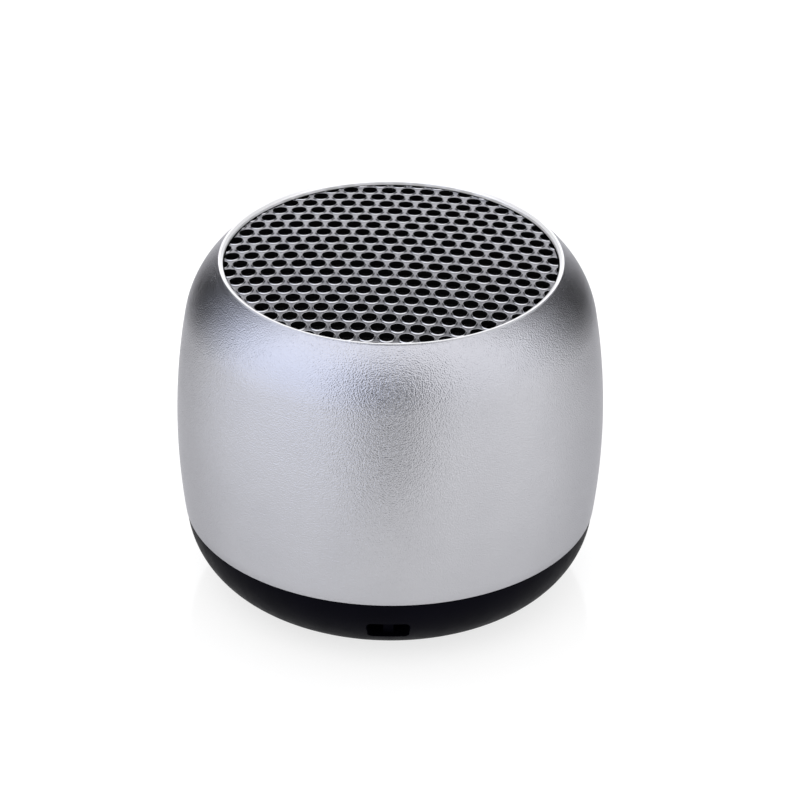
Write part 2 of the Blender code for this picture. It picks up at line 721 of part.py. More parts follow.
def make_bottom_cover():
    cover = turned("bottom_cover", base_profile(), "black_plastic")
    places = [on_circle(SCREW_CIRCLE, degrees) for degrees in SCREW_ANGLES]
    post_top = BOARD_Z - 0.1
    for number, place in enumerate(places, 1):
        post = disc(f"post_{number}", POST_RADIUS, 1.6, post_top, None, COARSE, location=place)
        combine(cover, post, "UNION", BOSS_TURN)
    combine(cover, strap_housing(), "UNION")

    for number, place in enumerate(places, 1):
        bore = [
            (0, -1),
            (SCREW_HEAD_RADIUS + 0.2, -1),
            (SCREW_HEAD_RADIUS + 0.2, SCREW_HEAD_Z[1] + 0.1),
            (SCREW_SHANK_RADIUS + 0.25, SCREW_HEAD_Z[1] + 0.1),
            (SCREW_SHANK_RADIUS + 0.25, 8),
            (0, 8),
        ]
        cutter = turned(f"screw_bore_{number}", bore, None, COARSE, location=place)
        combine(cover, cutter, "DIFFERENCE", BOSS_TURN / 2)
    strap_way = slot_cutter("strap_way", STRAP_SLOT, 0.6, STRAP_SLOT_Z, -24, STRAP_POCKET_BACK)
    usb_z = BOARD_Z - SOLDER_GAP - USB_SIZE[2] / 2
    usb_way = slot_cutter("usb_way", USB_CUTOUT, 0.8, usb_z, 16.2, 24)
    led_way = disc("led_way", 0.95, -1, 3, None, COARSE, location=(LED_X, 0, 0))
    sound_way = disc("sound_way", 0.5, -1, 3, None, COARSE, location=(MICROPHONE_X, 0, 0))
    for way in (strap_way, usb_way):
        combine(cover, way, "DIFFERENCE")
    for way in (led_way, sound_way):
        combine(cover, way, "DIFFERENCE", BOSS_TURN)

    half = STRAP_BAR_WIDTH / 2
    reach = STRAP_SLOT[1] / 2 + 0.3
    low = (-half, STRAP_BAR_FRONT, STRAP_SLOT_Z - reach)
    high = (half, STRAP_BAR_BACK, STRAP_SLOT_Z + reach)
    combine(cover, block("strap_bar", low, high, None), "UNION")


def make_base_pieces():
    """What the base carries: foot ring, screws, button, light pipe and the microphone's boot."""
    foot = [
        (FOOT_INNER, FOOT_TOP_Z),
        (FOOT_INNER, 0.3),
        (FOOT_INNER + 0.3, 0),
        (FOOT_OUTER - 0.3, 0),
        (FOOT_OUTER, 0.3),
        (FOOT_OUTER, FOOT_TOP_Z),
    ]
    turned("foot_ring", foot, "black_rubber")
    under, over = SCREW_HEAD_Z
    screw = [
        (0, under),
        (SCREW_HEAD_RADIUS - 0.4, under),
        (SCREW_HEAD_RADIUS, under + 0.5),
        (SCREW_HEAD_RADIUS, over),
        (SCREW_SHANK_RADIUS, over),
        (SCREW_SHANK_RADIUS, SCREW_TIP_Z - 0.6),
        (0, SCREW_TIP_Z),
    ]
    for number, degrees in enumerate(SCREW_ANGLES, 1):
        place = on_circle(SCREW_CIRCLE, degrees)
        turned(f"cover_screw_{number}", screw, "zinc_steel", COARSE, location=place)

    button = [
        (0, 0.62),
        (BUTTON_RADIUS - 0.4, 0.7),
        (BUTTON_RADIUS, 1.0),
        (BUTTON_RADIUS, BASE_FLOOR_TOP + 0.1),
        (BUTTON_RADIUS + 1.05, BASE_FLOOR_TOP + 0.1),
        (BUTTON_RADIUS + 1.05, BASE_FLOOR_TOP + 0.7),
        (1.5, BASE_FLOOR_TOP + 0.7),
        (1.5, BUTTON_STEM_TOP),
        (0, BUTTON_STEM_TOP),
    ]
    turned("power_button", button, "black_plastic", MEDIUM)
    pipe = [(0, 0.5), (0.8, 0.5), (0.8, 2.1), (1.5, 2.1), (1.5, 2.7), (0.8, 2.7), (0.8, 5.2), (0, 5.2)]
    turned("light_pipe", pipe, "clear_plastic", COARSE, location=(LED_X, 0, 0))
    boot = [(0.5, 2.1), (2.6, 2.1), (2.6, 5.6), (2.15, 5.6), (2.15, 4.4), (0.5, 4.4)]
    turned("microphone_boot", boot, "black_rubber", COARSE, location=(MICROPHONE_X, 0, 0))


def main():
    clear_scene()
    make_outer_shell()
    make_grille()
    make_grille_cloth()
    make_driver()
    make_carrier()
    make_battery()
    make_speaker_leads()
    make_board()
    make_bottom_cover()
    make_base_pieces()


main()
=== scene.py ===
"""The looks of the pocket speaker: fine meshes for what shows, and a procedural finish for every piece.

Heights and radii are millimetres on the barrel's axis, with z = 0 on the table. Meshes are made in metres.
"""

import json
import math

import bmesh
import bpy
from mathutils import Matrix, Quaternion, Vector


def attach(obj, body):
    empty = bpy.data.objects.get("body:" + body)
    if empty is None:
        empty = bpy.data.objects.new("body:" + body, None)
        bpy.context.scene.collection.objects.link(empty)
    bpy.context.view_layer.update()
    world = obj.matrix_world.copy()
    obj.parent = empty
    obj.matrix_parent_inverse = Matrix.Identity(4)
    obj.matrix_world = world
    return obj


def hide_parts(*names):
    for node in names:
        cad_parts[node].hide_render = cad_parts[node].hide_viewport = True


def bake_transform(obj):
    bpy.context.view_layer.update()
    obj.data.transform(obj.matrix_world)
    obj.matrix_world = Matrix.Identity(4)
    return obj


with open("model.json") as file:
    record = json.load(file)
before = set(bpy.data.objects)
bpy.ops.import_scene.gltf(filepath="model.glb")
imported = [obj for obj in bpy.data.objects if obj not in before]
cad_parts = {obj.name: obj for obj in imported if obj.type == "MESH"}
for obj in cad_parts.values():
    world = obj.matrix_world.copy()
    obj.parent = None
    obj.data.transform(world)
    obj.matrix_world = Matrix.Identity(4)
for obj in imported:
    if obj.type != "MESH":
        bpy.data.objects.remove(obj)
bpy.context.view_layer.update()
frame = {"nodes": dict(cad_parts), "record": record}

MM = 0.001

# Camera: a long lens, a little off level.
LENS = 236.5
CAMERA_DISTANCE = 567.6
CAMERA_ELEVATION = math.radians(30.1)
CAMERA_ROLL = math.radians(0.46)
CAMERA_TARGET = Vector((1.05, 0, 20.48))

# Barrel section. The side is one arc and the shoulder another; the rim stands on the shoulder's end.
BARREL_RADIUS = 23.0
BARREL_WALL = 1.0
WAIST_Z = 19.0
SIDE_ARC = 76.0
SHOULDER_Z = 31.0
SHOULDER_ARC = 11.4
SEAM_Z = 8.24
SHOULDER_END_Z = 37.63
RIM_Z = 37.8
RIM_OUTER = 18.43
RIM_INNER = 17.93
RIM_CHAMFER = (0.27, 0.18)
# Above this height the rim takes its near-white finish, a painted highlight.
RIM_PAINTED_HIGHLIGHT_Z = 37.28
LEDGE_RADIUS = 16.6
LEDGE_Z = 36.75
LEDGE_UNDER_Z = 35.9

# Grille and the scrim under it.
GRILLE_RADIUS = 17.75
GRILLE_EDGE_Z = 37.34
GRILLE_CROWN = 0.8
GRILLE_SHEET = 0.5
HOLE_PITCH = 2.08
HOLE_TURN = math.radians(-3.77)
HOLE_SHIFT = (-0.36, -0.02)
HOLE_SIDES = 24
CLOTH_RADIUS = 16.3
CLOTH_SHEET = 0.2
CLOTH_GAP = 0.1
CLOTH_RINGS = 24

# Base. BASE_ARC_CENTRE and BASE_RIM are a radius and a height, and POST_Z is a range of heights. The other
# pairs are an inner and an outer radius, or a width and a height.
BASE_ARC_CENTRE = (13.67, 8.44)
BASE_ARC = 8.44
BASE_ARC_END_Z = 8.0
BASE_WALL = 1.7
BASE_UNDER_Z = 0.3
BASE_FLOOR_Z = 2.0
BASE_RIM = (22.1, 8.09)
SPIGOT = (20.0, 20.85)
SPIGOT_TOP_Z = 10.7
FOOT_GROOVE = (11.1, 15.1)
FOOT_GROOVE_Z = 0.95
BUTTON_BORE = 5.0
LED_X = 8.6
LED_BORE = 0.95
MICROPHONE_X = -9.0
MICROPHONE_BORE = 0.5
STRAP_SLOT = (4.5, 2.3)
STRAP_SLOT_Z = 4.25
STRAP_BAR = (1.1, 2.9)
STRAP_HOUSING_HALF = 3.3
SCREW_CIRCLE = 13.1
SCREW_ANGLES = (30, 150, 270)
SCREW_HEAD_BORE = 1.9
SCREW_SHANK_BORE = 1.15
SCREW_SEAT_Z = 2.6
POST_RADIUS = 2.4
POST_Z = (1.6, 6.1)
USB_Z = 4.775
USB_FRONT_Y = 19.9
USB_SHELL = (7.5, 2.75)
USB_OPENING = (6.9, 2.15)
USB_WAY = (8.2, 3.35)
USB_TONGUE = (3.6, 0.65)
USB_CONTACT = (0.32, 0.07)
USB_CONTACT_PITCH = 0.65

# Driver. Its heights below the flange are negative.
FLANGE_Z = 34.6
CONE_EDGE_Z = -0.8
SPIDER_LEDGE_Z = -5.2
FLEXIBLE_SHEET = 0.25
TINSEL_RADIUS = 0.2

# How far out along Y a cutter starts, clear of the wall.
CLEAR = 24.0

# Sides of the larger turned pieces.
SMOOTH = 192


# --- Sections and meshes -----------------------------------------------------------------------------------


def arc(centre, radius, start, end, steps):
    """Points along an arc in the (radius, height) plane; angles in degrees."""
    turn = [math.radians(start + (end - start) * i / steps) for i in range(steps + 1)]
    return [(centre[0] + radius * math.cos(a), centre[1] + radius * math.sin(a)) for a in turn]


def eased(points, steps=3):
    """Rounds each corner that has a third value, its size, with a quadratic curve; plain points stay."""
    found = []
    for i, point in enumerate(points):
        if len(point) == 2:
            found.append(point)
            continue
        here = Vector(point[:2])
        before, after = Vector(points[i - 1][:2]), Vector(points[(i + 1) % len(points)][:2])
        reach = min(point[2], (before - here).length * 0.45, (after - here).length * 0.45)
        start = here + (before - here).normalized() * reach
        end = here + (after - here).normalized() * reach
        for k in range(steps + 1):
            t = k / steps
            spot = start * (1 - t) ** 2 + here * (2 * t * (1 - t)) + end * t**2
            found.append((spot.x, spot.y))
    return found


def made(name, mesh, crease=35):
    """An object of a bmesh in millimetres, smooth except at its creases."""
    bmesh.ops.recalc_face_normals(mesh, faces=mesh.faces)
    data = bpy.data.meshes.new(name)
    mesh.to_mesh(data)
    mesh.free()
    for vert in data.vertices:
        vert.co *= MM
    data.shade_smooth()
    data.set_sharp_from_angle(angle=math.radians(crease))
    obj = bpy.data.objects.new(name, data)
    bpy.context.scene.collection.objects.link(obj)
    return obj


def circle(radius, sides, turn=0.0):
    """Points evenly round a circle about the origin, the first at the turn, in radians."""
    angles = [turn + math.tau * i / sides for i in range(sides)]
    return [(radius * math.cos(a), radius * math.sin(a)) for a in angles]


def bridge(mesh, low, high):
    """A band of faces between two rings of vertices, either of which may be one vertex repeated."""
    faces = []
    for i, vert in enumerate(low):
        j = (i + 1) % len(low)
        corners = [vert, low[j], high[j], high[i]]
        distinct = [corner for k, corner in enumerate(corners) if corner not in corners[:k]]
        faces.append(mesh.faces.new(distinct))
    return faces


def skin(mesh, rings):
    """Joins rings of vertices, each to the next, and closes both ends with a flat face."""
    for low, high in zip(rings, rings[1:]):
        bridge(mesh, low, high)
    mesh.faces.new(rings[0])
    mesh.faces.new(rings[-1])
    return mesh


def lathe(profile, sides=SMOOTH, centre=(0, 0, 0), index_of=None):
    """A bmesh turned round Z from a section, which closes on itself unless it starts and ends on the axis.

    index_of gives a face's material index from the radius and height of its middle.
    """
    mesh = bmesh.new()
    right, back, up = centre
    rings = []
    for radius, height in profile:
        if radius == 0:
            rings.append([mesh.verts.new((right, back, up + height))] * sides)
        else:
            spots = [(right + x, back + y, up + height) for x, y in circle(radius, sides)]
            rings.append([mesh.verts.new(spot) for spot in spots])
    pairs = list(zip(rings, rings[1:]))
    if profile[0][0] > 0:
        pairs.append((rings[-1], rings[0]))
    for low, high in pairs:
        for face in bridge(mesh, low, high):
            if index_of:
                middle = face.calc_center_median()
                face.material_index = index_of(math.hypot(middle.x, middle.y), middle.z)
    return mesh


def plug(radius, low, high, sides, centre=(0, 0, 0)):
    """A round bmesh between two heights, to cut with or to add."""
    return lathe([(0, low), (radius, low), (radius, high), (0, high)], sides, centre)


def rounded_outline(width, height, radius, steps):
    """A rectangle about the origin with round corners, anticlockwise."""
    corners = [(1, 1, 0), (-1, 1, 90), (-1, -1, 180), (1, -1, 270)]
    outline = []
    for side, end, start in corners:
        centre = (side * (width / 2 - radius), end * (height / 2 - radius))
        outline += arc(centre, radius, start, start + 90, steps)
    return outline


def lofted_y(stations, steps=6):
    """A closed bmesh through upright rounded rectangles, each (y, z, width, height, corner radius)."""
    mesh = bmesh.new()
    rings = []
    for y, z, width, height, radius in stations:
        outline = rounded_outline(width, height, radius, steps)
        rings.append([mesh.verts.new((px, y, z + pz)) for px, pz in outline])
    return skin(mesh, rings)


def cut(mesh, cutters, operation="DIFFERENCE"):
    """Combines a bmesh with others, one after another, in millimetres, and returns the result."""
    scratch = []

    def scratch_object(source):
        bmesh.ops.recalc_face_normals(source, faces=source.faces)
        data = bpy.data.meshes.new("scratch")
        source.to_mesh(data)
        source.free()
        obj = bpy.data.objects.new("scratch", data)
        bpy.context.scene.collection.objects.link(obj)
        scratch.append(obj)
        return obj

    body = scratch_object(mesh)
    for cutter in cutters:
        modifier = body.modifiers.new("cut", "BOOLEAN")
        modifier.operation = operation
        modifier.solver = "EXACT"
        modifier.object = scratch_object(cutter)
    bpy.context.view_layer.update()
    evaluated = body.evaluated_get(bpy.context.evaluated_depsgraph_get())
    result = bmesh.new()
    result.from_mesh(evaluated.to_mesh())
    for obj in scratch:
        bpy.data.objects.remove(obj)
    return result


def tube_along(route, radius, sides):
    """A closed bmesh tube through the points of a route, in millimetres."""
    points = [Vector(p) for p in route]
    mesh = bmesh.new()
    rings = []
    for i, point in enumerate(points):
        ahead = points[min(i + 1, len(points) - 1)] - points[max(i - 1, 0)]
        across = ahead.cross(Vector((0, 0, 1))).normalized()
        up = across.cross(ahead).normalized()
        rings.append([mesh.verts.new(point + across * x + up * y) for x, y in circle(radius, sides)])
    return skin(mesh, rings)


def smooth_route(points, between=5):
    """Catmull-Rom points through a route, with a few between each two of its own."""
    points = [Vector(p) for p in points]
    ends = [points[0] * 2 - points[1], *points, points[-1] * 2 - points[-2]]
    found = []
    for before, start, end, after in zip(ends, ends[1:], ends[2:], ends[3:]):
        square = 2 * before - 5 * start + 4 * end - after
        cube = 3 * start - before - 3 * end + after
        for i in range(between):
            t = i / between
            found.append(0.5 * (2 * start + (end - before) * t + square * t**2 + cube * t**3))
    return [*found, points[-1]]


# --- Finishes ----------------------------------------------------------------------------------------------

# The colour sockets of a Mix node: its two inputs and its output.
MIX_FIRST, MIX_SECOND, MIX_RESULT = 6, 7, 2


def principled(material):
    return material.node_tree.nodes["Principled BSDF"]


def finish(name, colour, roughness, metallic=0.0, **sockets):
    """A plain material, with any other sockets given by their names in lower case."""
    material = bpy.data.materials.new(name)
    material.use_nodes = True
    shader = principled(material)
    shader.inputs["Base Color"].default_value = (*colour, 1)
    shader.inputs["Roughness"].default_value = roughness
    shader.inputs["Metallic"].default_value = metallic
    for socket, value in sockets.items():
        shader.inputs[socket.replace("_", " ").title().replace("Ior", "IOR")].default_value = value
    return material


def add(material, kind, links=(), **values):
    """A new node with its properties or inputs set by name, and its inputs linked by name."""
    node = material.node_tree.nodes.new(kind)
    for name, value in values.items():
        if hasattr(node, name):
            setattr(node, name, value)
        else:
            node.inputs[name.replace("_", " ")].default_value = value
    for name, source in dict(links).items():
        material.node_tree.links.new(source, node.inputs[name])
    return node


def place(material, stretch=(1, 1, 1)):
    """The object's own coordinates, in metres, stretched."""
    source = add(material, "ShaderNodeTexCoord").outputs["Object"]
    mapping = add(material, "ShaderNodeMapping", {"Vector": source})
    mapping.inputs["Scale"].default_value = stretch
    return mapping.outputs["Vector"]


def noise(material, size, detail=2.0, stretch=(1, 1, 1), roughness=0.5):
    """A noise whose features are about size millimetres."""
    links = {"Vector": place(material, stretch)}
    scale = 1 / (size * MM)
    texture = add(material, "ShaderNodeTexNoise", links, Scale=scale, Detail=detail, Roughness=roughness)
    return texture.outputs["Fac"]


def cells(material, size, feature="F1"):
    """Cells about size millimetres across."""
    links = {"Vector": place(material)}
    texture = add(material, "ShaderNodeTexVoronoi", links, Scale=1 / (size * MM), feature=feature)
    return texture.outputs["Distance"]


def threads(material, size, direction):
    """Fine parallel ridges along one axis, for a weave."""
    wave = add(
        material,
        "ShaderNodeTexWave",
        {"Vector": place(material)},
        wave_type="BANDS",
        bands_direction=direction,
        wave_profile="SIN",
        Scale=math.tau / (20 * size * MM),
        Distortion=0.6,
        Detail=1.0,
    )
    return wave.outputs["Fac"]


def ramp(material, factor, low, high, start=0.3, end=0.7):
    """Maps a factor's middle range to low..high."""
    node = add(material, "ShaderNodeMapRange", {"Value": factor})
    node.inputs["From Min"].default_value = start
    node.inputs["From Max"].default_value = end
    node.inputs["To Min"].default_value = low
    node.inputs["To Max"].default_value = high
    return node.outputs["Result"]


def product(material, first, second):
    """The product of two values."""
    node = add(material, "ShaderNodeMath", operation="MULTIPLY")
    material.node_tree.links.new(first, node.inputs[0])
    material.node_tree.links.new(second, node.inputs[1])
    return node.outputs[0]


def roughen(material, factor, low, high):
    """Varies the roughness between two values."""
    material.node_tree.links.new(ramp(material, factor, low, high), principled(material).inputs["Roughness"])


def tint(material, factor, dark, light):
    """Varies the colour between two."""
    mix = add(material, "ShaderNodeMix", data_type="RGBA")
    material.node_tree.links.new(ramp(material, factor, 0, 1), mix.inputs["Factor"])
    mix.inputs[MIX_FIRST].default_value = (*dark, 1)
    mix.inputs[MIX_SECOND].default_value = (*light, 1)
    material.node_tree.links.new(mix.outputs[MIX_RESULT], principled(material).inputs["Base Color"])


def emboss(material, height, depth):
    """Adds a bump, depth in millimetres, on top of any that the material already has."""
    normal = principled(material).inputs["Normal"]
    bump = add(material, "ShaderNodeBump", {"Height": height}, Strength=1.0)
    bump.inputs["Distance"].default_value = depth * MM
    if normal.links:
        material.node_tree.links.new(normal.links[0].from_socket, bump.inputs["Normal"])
    material.node_tree.links.new(bump.outputs["Normal"], normal)


def blasted_aluminium():
    edge = (0.7, 0.7, 0.72, 1)
    material = finish("blasted_aluminium", (0.434, 0.434, 0.458), 0.32, 1.0, specular_tint=edge)
    grain = noise(material, 0.14, 0.0)
    tint(material, noise(material, 7.0), (0.424, 0.424, 0.448), (0.444, 0.444, 0.468))
    roughen(material, grain, 0.29, 0.35)
    emboss(material, grain, 0.045)
    return material


def polished_rim_painted_highlight():
    """The turned rim: polished, and given a near-white colour with little metal, a painted highlight, so
    that it looks white from every side.
    """
    material = finish("polished_rim_painted_highlight", (0.96, 0.96, 0.98), 0.2, 0.2)
    roughen(material, noise(material, 0.5), 0.17, 0.24)
    emboss(material, noise(material, 0.08, stretch=(1, 1, 20)), 0.0005)
    return material


def machined_aluminium():
    material = finish("machined_aluminium", (0.5, 0.5, 0.52), 0.45, 1.0)
    roughen(material, noise(material, 0.3), 0.38, 0.5)
    emboss(material, noise(material, 0.15, stretch=(0.05, 0.05, 1)), 0.004)
    return material


def grille_web():
    material = finish("grille_web", (0.29, 0.29, 0.305), 0.3, 1.0)
    grain = noise(material, 0.15, 3.0)
    tint(material, noise(material, 1.6), (0.26, 0.26, 0.275), (0.32, 0.32, 0.335))
    roughen(material, grain, 0.26, 0.34)
    emboss(material, grain, 0.008)
    return material


def grille_lip_painted_highlight():
    """The rolled lip round each hole, coloured a little brighter than the web as a painted highlight."""
    material = finish("grille_lip_painted_highlight", (0.52, 0.52, 0.535), 0.26, 1.0)
    tint(material, noise(material, 0.9), (0.49, 0.49, 0.505), (0.55, 0.55, 0.565))
    roughen(material, noise(material, 0.2), 0.2, 0.28)
    emboss(material, noise(material, 0.12), 0.003)
    return material


def hole_wall_painted_shade():
    """Black, painted shade, so that the depth of the holes shows no light."""
    material = finish("hole_wall_painted_shade", (0.0018, 0.0018, 0.002), 0.7, specular_ior_level=0.06)
    roughen(material, noise(material, 0.3), 0.6, 0.8)
    emboss(material, noise(material, 0.1), 0.004)
    return material


def moulded(name, colour, roughness, texture=0.12, **sockets):
    """Satin moulded plastic: a fine spark-eroded texture and slight unevenness of gloss."""
    material = finish(name, colour, roughness, **sockets)
    lighter = tuple(c * 1.25 for c in colour)
    tint(material, noise(material, 4.0), colour, lighter)
    roughen(material, noise(material, 1.5, 3.0), roughness - 0.05, roughness + 0.05)
    emboss(material, cells(material, texture), 0.006)
    return material


def rubber():
    colour = (0.018, 0.018, 0.019)
    material = finish("black_rubber", colour, 0.75)
    tint(material, noise(material, 3.0), colour, tuple(c * 1.4 for c in colour))
    roughen(material, noise(material, 0.6), 0.68, 0.85)
    emboss(material, noise(material, 0.12, 3.0), 0.008)
    return material


def foam():
    material = finish("open_foam", (0.02, 0.02, 0.021), 0.95)
    tint(material, cells(material, 0.25), (0.008, 0.008, 0.009), (0.035, 0.035, 0.036))
    emboss(material, cells(material, 0.25), 0.08)
    return material


def woven(name, dark, light, size, depth, specular=0.5):
    """Plain weave from two crossed sets of threads."""
    material = finish(name, light, 0.9, specular_ior_level=specular)
    weave = product(material, threads(material, size, "X"), threads(material, size, "Y"))
    tint(material, weave, dark, light)
    emboss(material, weave, depth)
    emboss(material, noise(material, size / 3), depth / 4)
    return material


def plated(name, colour, roughness):
    material = finish(name, colour, roughness, 1.0)
    tint(material, noise(material, 2.5), tuple(c * 0.9 for c in colour), colour)
    roughen(material, noise(material, 0.4, 3.0), roughness - 0.07, roughness + 0.08)
    emboss(material, noise(material, 0.2, 3.0), 0.003)
    return material


def ferrite():
    material = finish("ferrite", (0.09, 0.09, 0.095), 0.55, 0.3)
    tint(material, noise(material, 0.5, 4.0), (0.06, 0.06, 0.065), (0.13, 0.13, 0.135))
    emboss(material, noise(material, 0.25, 4.0), 0.02)
    return material


def enamelled_winding():
    material = finish("enamelled_winding", (0.62, 0.26, 0.1), 0.3, 1.0)
    turns = threads(material, 0.12, "Z")
    tint(material, turns, (0.3, 0.1, 0.03), (0.75, 0.34, 0.14))
    emboss(material, turns, 0.04)
    return material


def pressed_paper():
    material = finish("pressed_paper", (0.022, 0.022, 0.023), 0.85)
    fibres = noise(material, 0.35, 5.0, (1, 1, 2), 0.7)
    tint(material, fibres, (0.014, 0.014, 0.015), (0.036, 0.036, 0.037))
    emboss(material, fibres, 0.03)
    return material


def phenolic():
    material = finish("phenolic_paper", (0.3, 0.15, 0.06), 0.6)
    fibres = noise(material, 0.3, 4.0, (1, 0.2, 1))
    tint(material, fibres, (0.22, 0.1, 0.04), (0.36, 0.19, 0.085))
    emboss(material, fibres, 0.01)
    return material


def solder_resist():
    """Green resist with slightly raised copper tracks under it."""
    material = finish("solder_resist", (0.01, 0.11, 0.045), 0.28)
    tracks = cells(material, 1.4, "DISTANCE_TO_EDGE")
    edges = ramp(material, tracks, 1, 0, 0.03, 0.06)
    tint(material, edges, (0.008, 0.085, 0.035), (0.02, 0.19, 0.08))
    roughen(material, noise(material, 0.7), 0.22, 0.36)
    emboss(material, edges, 0.02)
    return material


def foil():
    material = finish("cell_foil", (0.6, 0.6, 0.62), 0.32, 1.0)
    tint(material, noise(material, 5.0), (0.52, 0.52, 0.54), (0.66, 0.66, 0.68))
    roughen(material, noise(material, 0.6), 0.26, 0.4)
    emboss(material, noise(material, 1.8, 4.0), 0.05)
    return material


def insulation(name, colour):
    material = finish(name, colour, 0.35)
    tint(material, noise(material, 1.5), colour, tuple(min(1, c * 1.5 + 0.004) for c in colour))
    roughen(material, noise(material, 0.4), 0.28, 0.45)
    emboss(material, noise(material, 0.3), 0.004)
    return material


def clear_plastic():
    material = finish("frosted_lens", (0.82, 0.86, 0.88), 0.3, transmission_weight=0.7, ior=1.49)
    roughen(material, noise(material, 0.3), 0.22, 0.4)
    emboss(material, noise(material, 0.15), 0.004)
    return material


FINISHES = {
    "satin_aluminium": blasted_aluminium(),
    # The rim's near-white colour is a painted highlight.
    "rim": polished_rim_painted_highlight(),
    "machined": machined_aluminium(),
    "grille_metal": grille_web(),
    # The lips' brighter colour is a painted highlight.
    "grille_lip_painted_highlight": grille_lip_painted_highlight(),
    # Black, painted shade in the holes' depth, on the grille's cut edge and on the ledge under the rim.
    "hole_wall_painted_shade": hole_wall_painted_shade(),
    "black_cloth": woven("black_scrim", (0.001, 0.001, 0.001), (0.006, 0.006, 0.0065), 0.3, 0.06, 0.1),
    "black_foam": foam(),
    "black_plastic": moulded("black_plastic", (0.0018, 0.0017, 0.0036), 0.42, specular_ior_level=0.015),
    "white_plastic": moulded("white_plastic", (0.75, 0.75, 0.72), 0.4),
    "clear_plastic": clear_plastic(),
    "black_rubber": rubber(),
    "black_steel": plated("coated_steel", (0.04, 0.04, 0.043), 0.42),
    "zinc_steel": plated("zinc_plate", (0.58, 0.58, 0.6), 0.28),
    "magnet_ferrite": ferrite(),
    "copper": enamelled_winding(),
    "tag_brass": plated("tinned_brass", (0.72, 0.6, 0.36), 0.35),
    "gold": plated("gold_flash", (0.9, 0.66, 0.25), 0.22),
    "cone_paper": pressed_paper(),
    "spider_cloth": woven("resin_cloth", (0.3, 0.2, 0.08), (0.6, 0.43, 0.2), 0.35, 0.06),
    "fibre_board": phenolic(),
    "circuit_board": solder_resist(),
    "chip_black": moulded("chip_epoxy", (0.016, 0.016, 0.016), 0.55, 0.06),
    "ceramic": moulded("fired_ceramic", (0.7, 0.66, 0.58), 0.45, 0.08),
    "cell_foil": foil(),
    "red_insulation": insulation("red_insulation", (0.42, 0.01, 0.008)),
    "black_insulation": insulation("black_insulation", (0.012, 0.012, 0.012)),
}


def fit(piece, body, slot, nodes=(), finishes=None):
    """Gives a piece its finishes, those named or else its slot's, and its body, and hides the CAD nodes that
    it stands for.
    """
    for key in finishes or [slot]:
        piece.data.materials.append(FINISHES[key])
    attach(piece, body)
    if nodes:
        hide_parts(*nodes)
    return piece


# --- Barrel and grille -------------------------------------------------------------------------------------


# Centres of the side's and the shoulder's arcs, and the angle at which the one runs into the other.
SIDE_CENTRE = (BARREL_RADIUS - SIDE_ARC, WAIST_Z)
TANGENT = math.asin((SHOULDER_Z - WAIST_Z) / SIDE_ARC)
SHOULDER_CENTRE = (
    SIDE_CENTRE[0] + (SIDE_ARC - SHOULDER_ARC) * math.cos(TANGENT),
    SIDE_CENTRE[1] + (SIDE_ARC - SHOULDER_ARC) * math.sin(TANGENT),
)
# The black finish here is painted shade, on the wall under the rim and on the ledge.
BARREL_FINISHES = ["satin_aluminium", "rim", "machined", "hole_wall_painted_shade"]


def barrel_arcs(inset, low_z, high_z, steps):
    """The side and shoulder arcs, inset from the outside, between two heights."""
    tangent = math.degrees(TANGENT)
    first = math.degrees(math.asin((low_z - WAIST_Z) / (SIDE_ARC - inset)))
    last = math.degrees(math.asin((high_z - SHOULDER_CENTRE[1]) / (SHOULDER_ARC - inset)))
    side = arc(SIDE_CENTRE, SIDE_ARC - inset, first, tangent, steps)
    shoulder = arc(SHOULDER_CENTRE, SHOULDER_ARC - inset, tangent, last, steps)
    return side + shoulder[1:]


def outside_radius(height):
    """The barrel's outside radius at a height."""
    if height < SHOULDER_Z:
        return SIDE_CENTRE[0] + math.sqrt(SIDE_ARC**2 - (height - SIDE_CENTRE[1]) ** 2)
    return SHOULDER_CENTRE[0] + math.sqrt(max(0, SHOULDER_ARC**2 - (height - SHOULDER_CENTRE[1]) ** 2))


def barrel_finish(radius, height):
    """Which of the barrel's finishes a face takes, as an index, from the place of its middle.

    The small margins keep a wall's own facets on one side of each test.
    """
    # The rim's top band takes the near-white finish, a painted highlight.
    if height > RIM_PAINTED_HIGHLIGHT_Z and radius < RIM_OUTER - 0.02:
        return BARREL_FINISHES.index("rim")
    # The wall under the rim and the ledge take black, painted shade.
    if height > LEDGE_Z - 0.1 and radius < RIM_INNER + 0.01:
        return BARREL_FINISHES.index("hole_wall_painted_shade")
    within = radius < outside_radius(height) - 0.3
    return BARREL_FINISHES.index("machined" if within else "satin_aluminium")


def make_barrel():
    """The blasted barrel with its polished rim painted near white as a highlight, the grille's ledge inside
    it painted black as shade, and an eased lower edge.
    """
    outside = barrel_arcs(0, SEAM_Z + 0.06, SHOULDER_END_Z, 20)
    inside = barrel_arcs(BARREL_WALL, SEAM_Z + 0.1, LEDGE_UNDER_Z, 8)[::-1]
    foot = [(inside[-1][0], SEAM_Z, 0.08), (outside[0][0] - 0.03, SEAM_Z, 0.1)]
    chamfer_width, chamfer_depth = RIM_CHAMFER
    rim = [
        (RIM_OUTER, RIM_Z, 0.02),
        (RIM_INNER + chamfer_width, RIM_Z, 0.03),
        (RIM_INNER, RIM_Z - chamfer_depth, 0.03),
        (RIM_INNER, RIM_PAINTED_HIGHLIGHT_Z),
        (RIM_INNER, LEDGE_Z, 0.05),
        (LEDGE_RADIUS, LEDGE_Z, 0.08),
        (LEDGE_RADIUS, LEDGE_UNDER_Z, 0.08),
    ]
    profile = eased([*outside, *rim, *inside, *foot])
    barrel = made("barrel", lathe(profile, 256, index_of=barrel_finish))
    fit(barrel, "housing", "satin_aluminium", ["outer_shell"], BARREL_FINISHES)


